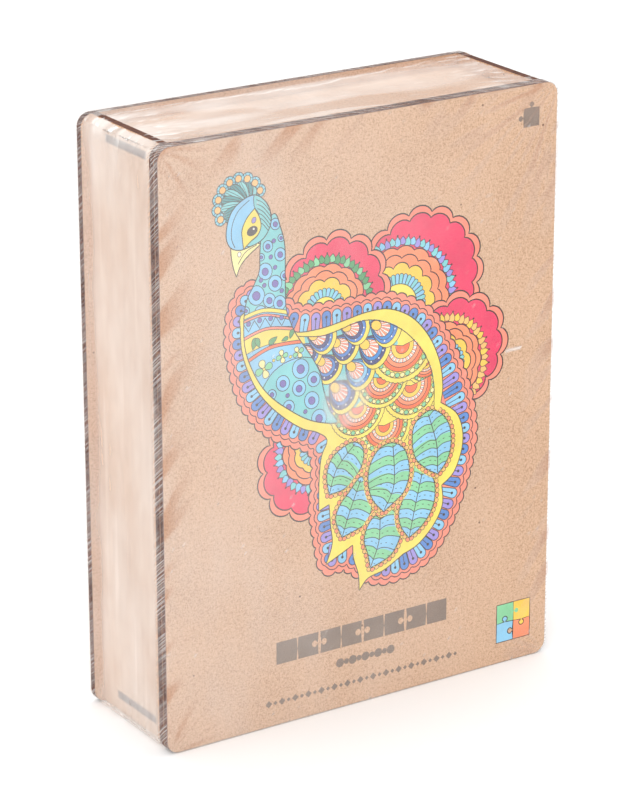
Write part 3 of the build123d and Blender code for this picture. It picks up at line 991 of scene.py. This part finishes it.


# Soft bands where the film lies tight on the lid, spreading from its corners and edges: 0 to 1; they also
# carry painted darker streaks of shade in the film's sheen.
def faceStreaks(x, z):
    halfX, height, found = filmHalf, filmTall, 0.0
    for cx, cz, long, seed in ((halfX, height, 62, 3.1), (-halfX, height, 26, 8.7), (halfX, 0, 22, 5.5),
                               (-halfX, 0, 24, 1.9)):
        dx, dz = cx - x, cz - z
        away, angle = hypot(dx, dz), atan2(abs(dz), abs(dx))
        if away < long:
            band = softNoise(angle * 11 + seed, away * 0.035 + seed, seed)
            strength = min(1, max(0, band * 4.2 - 0.05)) * min(1, away / 9)
            found = max(found, strength * (1 - away / long) ** 0.7)
    edge = min(halfX - abs(x), height - z)
    if edge < 16:
        band = softNoise((x - z) * 0.14, (x + z) * 0.03, 4.4)
        found = max(found, min(1, max(0, band * 4 - 0.3)) * (1 - edge / 16) * 0.8)
    return found


# Painted highlights on the lid's film: a round glare patch, a small sharp fold line catching the light and a
# few sparks.
def paintedFilmGlare(x, z):
    away = hypot(x + 8, z - 124.5)
    patch = max(0.0, min(1.0, (11.8 - away) / 2.4)) * (0.62 + 0.3 * softNoise(x * 0.5, z * 0.22, 7.7))
    u, v = x - 64.5, z - 129.6
    crease = max(0, 1 - abs(v - 0.06 * u) / (0.9 - 0.09 * u)) if 0 < u < 7 else 0
    spark = max(0, softNoise(x * 0.62, z * 0.62, 2.2) * 5 - 3.1)
    return min(1, patch * 0.5 + crease * 1.3 + spark * 0.5)


# How far the film dips between the plates and how bright the painted highlights on its folds are; s runs
# along the edge.
def skirtFold(side, s, y):
    slack = max(0.0, cos(pi / 2 * min(1, abs(y) / 25)))
    if side in ("left", "right"):
        end = min(s, filmTall - s)
        ripple = softNoise(s * 0.035 + 3, y * 0.3, 1.1) * 0.35
        corner = max(0.0, 1 - end / 26)
        crumple = softNoise(s * 0.3 + y * 0.55, y * 0.25 - s * 0.1, 9.3)
        # Painted reflection band across the side skirts near the corners.
        lens = max(0.0, 1 - abs(abs(y) - 22 + 0.25 * end) / 3.2) * corner
        return (slack * (0.8 + ripple) + corner * (0.3 + crumple * 0.7),
                max(0, crumple * 2.4 - 0.8) * corner ** 2 * 0.3 + lens * 0.2
                + max(0, softNoise(s * 0.018, y * 0.35, 6.6) * 2.2 - 0.75) * 0.14)
    end = min(s, 2 * filmHalf - s)
    corner = max(0.0, 1 - end / 40)
    crumple = softNoise(s * 0.16 + y * 0.3, y * 0.34 - s * 0.05, 5.2)
    # Wavy painted highlight along the top skirt.
    path = 17.5 + 2.2 * sin(s * 0.055) + softNoise(s * 0.14, 0.4, 2.8) * 2.6
    streak = max(0.0, 1 - abs(y - path) / 0.95) * (0.45 + 0.55 * softNoise(s * 0.22, 1.0, 3.0) + 0.25)
    return (slack * (0.7 + 0.4 * softNoise(s * 0.05, y * 0.12, 8.8)) + corner * (0.25 + crumple * 0.8),
            max(0, crumple * 2.8 - 0.6) * (corner ** 1.2) * 0.9 + max(0, streak) * 0.7
            + max(0, softNoise(s * 0.09, y * 0.5 + s * 0.06, 4.1) * 2.4 - 0.85) * 0.16)


def filmCap(name, node, front, look):
    low, high = corners(node)
    gap = look["gap"] * mm
    x0, x1, z0, z1 = low.x + gap, high.x - gap, low.z + gap, high.z - gap
    faceY = (low.y + gap) if front else (high.y - gap)
    radius = look["corner"] * mm
    step = look["step"] * (1 if front else 3)
    across, up = ceil((x1 - x0) / mm / step), ceil((z1 - z0) / mm / step)

    # Even stations with one exactly at each corner's start.
    def snapped(count, length):
        inner = max(2, round((length - 2 * radius) / (length / count)))
        side = max(4, round(radius / mm / step) + 2)
        return ([radius * k / side for k in range(side)]
                + [radius + (length - 2 * radius) * k / inner for k in range(inner)]
                + [length - radius + radius * k / side for k in range(side + 1)])

    xs, zs = snapped(across, x1 - x0), snapped(up, z1 - z0)
    bm = bmesh.new()
    paintedGlints, clingAndStreakShades = [], []  # painted fold highlight, and how tight the film lies together with its painted shade streaks, vertex by vertex

    # Rectangle's point moved so that its corners become round.
    def rounded(u, v):
        lx, lz = x1 - x0, z1 - z0
        du = (radius - u) / radius if u < radius else (u - (lx - radius)) / radius if u > lx - radius else 0
        dv = (radius - v) / radius if v < radius else (v - (lz - radius)) / radius if v > lz - radius else 0
        if du > 0 and dv > 0:
            eu, ev = du * sqrt(1 - dv * dv / 2), dv * sqrt(1 - du * du / 2)
            u = radius - eu * radius if u < radius else lx - radius + eu * radius
            v = radius - ev * radius if v < radius else lz - radius + ev * radius
        return x0 + u, z0 + v

    grid = []
    for v in zs:
        row = []
        for u in xs:
            x, z = rounded(u, v)
            vert = bm.verts.new((x, faceY, z))
            clingAndStreakShades.append(faceStreaks(x / mm, z / mm) if front else 0.0)
            paintedGlints.append(paintedFilmGlare(x / mm, z / mm) if front else 0.0)
            row.append(vert)
        grid.append(row)
    for a, b in zip(grid, grid[1:]):
        for i in range(len(xs) - 1):
            bm.faces.new((a[i], a[i + 1], b[i + 1], b[i]) if front else (a[i], b[i], b[i + 1], a[i + 1]))
    rim = (grid[0] + [row[-1] for row in grid[1:]] + grid[-1][-2::-1] + [row[0] for row in grid[-2:0:-1]])
    depth = abs(faceY) / mm
    stations = [0.25, 1.0, 2.2, 3.4, 4.6, 5.8] + [7 + (depth - 7) * k / 20 for k in range(21)]
    last = rim
    for down in stations:
        ring = []
        for vert in rim:
            x, z = vert.co.x, vert.co.z
            y = faceY + down * mm * (1 if front else -1)
            flatX = x0 + radius < x < x1 - radius
            if flatX or min(x - x0, x1 - x) > min(z - z0, z1 - z):
                side = "top" if z > 0.1 else "bottom"
            else:
                side = "left" if x < 0 else "right"
            s = z / mm if side in ("left", "right") else (x - x0) / mm
            # dip bends the skirt; bright is the painted highlight of its folds.
            dip, bright = skirtFold(side, s, y / mm)
            dip *= look["sag"] * mm * min(1, max(0, (down - 1) / 5))
            inX = dip if side == "left" else -dip if side == "right" else 0
            inZ = -dip if side == "top" else dip * 0.3 if side == "bottom" else 0
            made = bm.verts.new((x + inX, y, z + inZ))
            paintedGlints.append(bright)
            clingAndStreakShades.append(0.0)
            ring.append(made)
        for i in range(len(rim)):
            j = (i + 1) % len(rim)
            bm.faces.new((last[i], ring[i], ring[j], last[j]) if front
                         else (last[i], last[j], ring[j], ring[i]))
        last = ring
    bm.normal_update()
    mesh = bpy.data.meshes.new(name)
    bm.to_mesh(mesh)
    bm.free()
    for title, values in (("crease", paintedGlints), ("cling", clingAndStreakShades)):
        mesh.attributes.new(title, "FLOAT", "POINT").data.foreach_set("value", values)
    mesh.polygons.foreach_set("use_smooth", [True] * len(mesh.polygons))
    film = bpy.data.objects.new(name, mesh)
    bpy.context.scene.collection.objects.link(film)
    return film


# Clear film: thin haze, painted highlights on its folds, and fine slanted ticks of painted highlight where it
# turns over the plates.
def makeFilm(look):
    material, tree, shader = newMaterial("clearFilm")
    place = addNode(tree, "ShaderNodeTexCoord").outputs["Object"]
    x, y, z = addNode(tree, "ShaderNodeSeparateXYZ", {0: place}).outputs[:3]
    normal = addNode(tree, "ShaderNodeNewGeometry").outputs["Normal"]
    facing = mathNode(tree, "ABSOLUTE", addNode(tree, "ShaderNodeSeparateXYZ", {0: normal}).outputs[1])
    skirt = ramp(tree, facing, 0.75, 0.35)
    crease = addNode(tree, "ShaderNodeAttribute", attribute_name="crease").outputs["Fac"]
    cling = addNode(tree, "ShaderNodeAttribute", attribute_name="cling").outputs["Fac"]
    depth = mathNode(tree, "ABSOLUTE", y)
    slant = mathNode(tree, "MULTIPLY_ADD", y, 0.8, mathNode(tree, "ADD", x, z))
    # Slanted ticks: painted highlights of fine folds where the film turns over the plate edges.
    ticks = addNode(tree, "ShaderNodeTexNoise", {"W": slant, "Scale": look["tickScale"], "Detail": 0.5},
                    noise_dimensions="1D")
    wander = noiseAt(tree, place, 60, detail=2.0)
    tick = mathNode(tree, "MULTIPLY", ramp(tree, ticks.outputs["Fac"], 0.45, 0.66),
                    ramp(tree, wander, 0.2, 0.62, (0.25, 1.0)))
    plateSide = mathNode(tree, "MAXIMUM", ramp(tree, y, *look["frontLip"]), ramp(tree, y, *look["backLip"]))
    lip = mathNode(tree, "MULTIPLY", plateSide, skirt)
    lip = mathNode(tree, "MULTIPLY", lip, ramp(tree, depth, 0.029, 0.0287))
    tick = mathNode(tree, "MULTIPLY", tick, lip)
    cloud = noiseAt(tree, place, 34, (1, 1, 0.5), detail=3.0)
    level = mathNode(tree, "MULTIPLY", ramp(tree, cloud, 0.25, 0.75, (0.72, 1.28)), look["haze"])
    loose = mathNode(tree, "SUBTRACT", 1.0, mathNode(tree, "MAXIMUM", cling, lip))
    level = mathNode(tree, "MULTIPLY", level, loose)
    level = mathNode(tree, "MULTIPLY", level, ramp(tree, x, 0.07, -0.08, look["acrossHaze"], smooth=False))
    side = mathNode(tree, "MULTIPLY", ramp(tree, cloud, 0.3, 0.7, (0.7, 1.1)), look["sideHaze"])
    between = mathNode(tree, "MULTIPLY", skirt, ramp(tree, depth, 0.0255, 0.021))
    # Less haze over the back panel's jutting strip: painted shade there.
    between = mathNode(tree, "MULTIPLY", between, ramp(tree, y, *look["overhang"], (0.1, 1.0)))
    level = mathNode(tree, "MULTIPLY_ADD", side, between, level)
    # Top skirt haze in patches: partly the film's own haze, partly painted glare.
    upper = mathNode(tree, "MULTIPLY", between, ramp(tree, z, 0.225, 0.2315))
    lens = ramp(tree, noiseAt(tree, place, 22, (0.5, 2.0, 1), detail=1.0), 0.6, 0.5)
    level = mathNode(tree, "MULTIPLY_ADD", mathNode(tree, "MULTIPLY", upper, lens), look["topHaze"], level)
    # Painted shade streaks where the film lies tight.
    level = mathNode(tree, "MULTIPLY_ADD", cling, 0.42, level)
    # Painted fold highlights, laid on as whiter haze.
    level = mathNode(tree, "MULTIPLY_ADD", crease, 0.62, level)
    level = mathNode(tree, "MULTIPLY_ADD", tick, 0.6, level, clamp=True)
    wrinkle = noiseAt(tree, place, 95, (1, 1, 0.35), detail=3.0)
    bump = addNode(tree, "ShaderNodeBump", {"Height": mathNode(tree, "MULTIPLY_ADD", crease, 0.6, wrinkle),
                                            "Strength": 0.35, "Distance": 0.0008})
    tree.links.new(bump.outputs[0], shader.inputs["Normal"])
    tree.links.new(level, shader.inputs["Alpha"])
    # The same streaks tinted darker orange: painted shade.
    tint = mixColour(tree, mathNode(tree, "MULTIPLY", cling, 0.95), look["tint"], look["damp"])
    tree.links.new(tint, shader.inputs["Base Color"])
    shader.inputs["Roughness"].default_value = look["roughness"]
    material.surface_render_method = "BLENDED"
    return material


clearFilm = makeFilm(filmLook)
for node, body, front in (("film_front", "front_film", True), ("film_back", "back_film", False)):
    film = filmCap("wrinkled_" + node, node, front, filmLook)
    film.data.materials.append(clearFilm)
    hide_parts(node)
    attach(film, body)
    print(node, len(film.data.polygons), "faces")
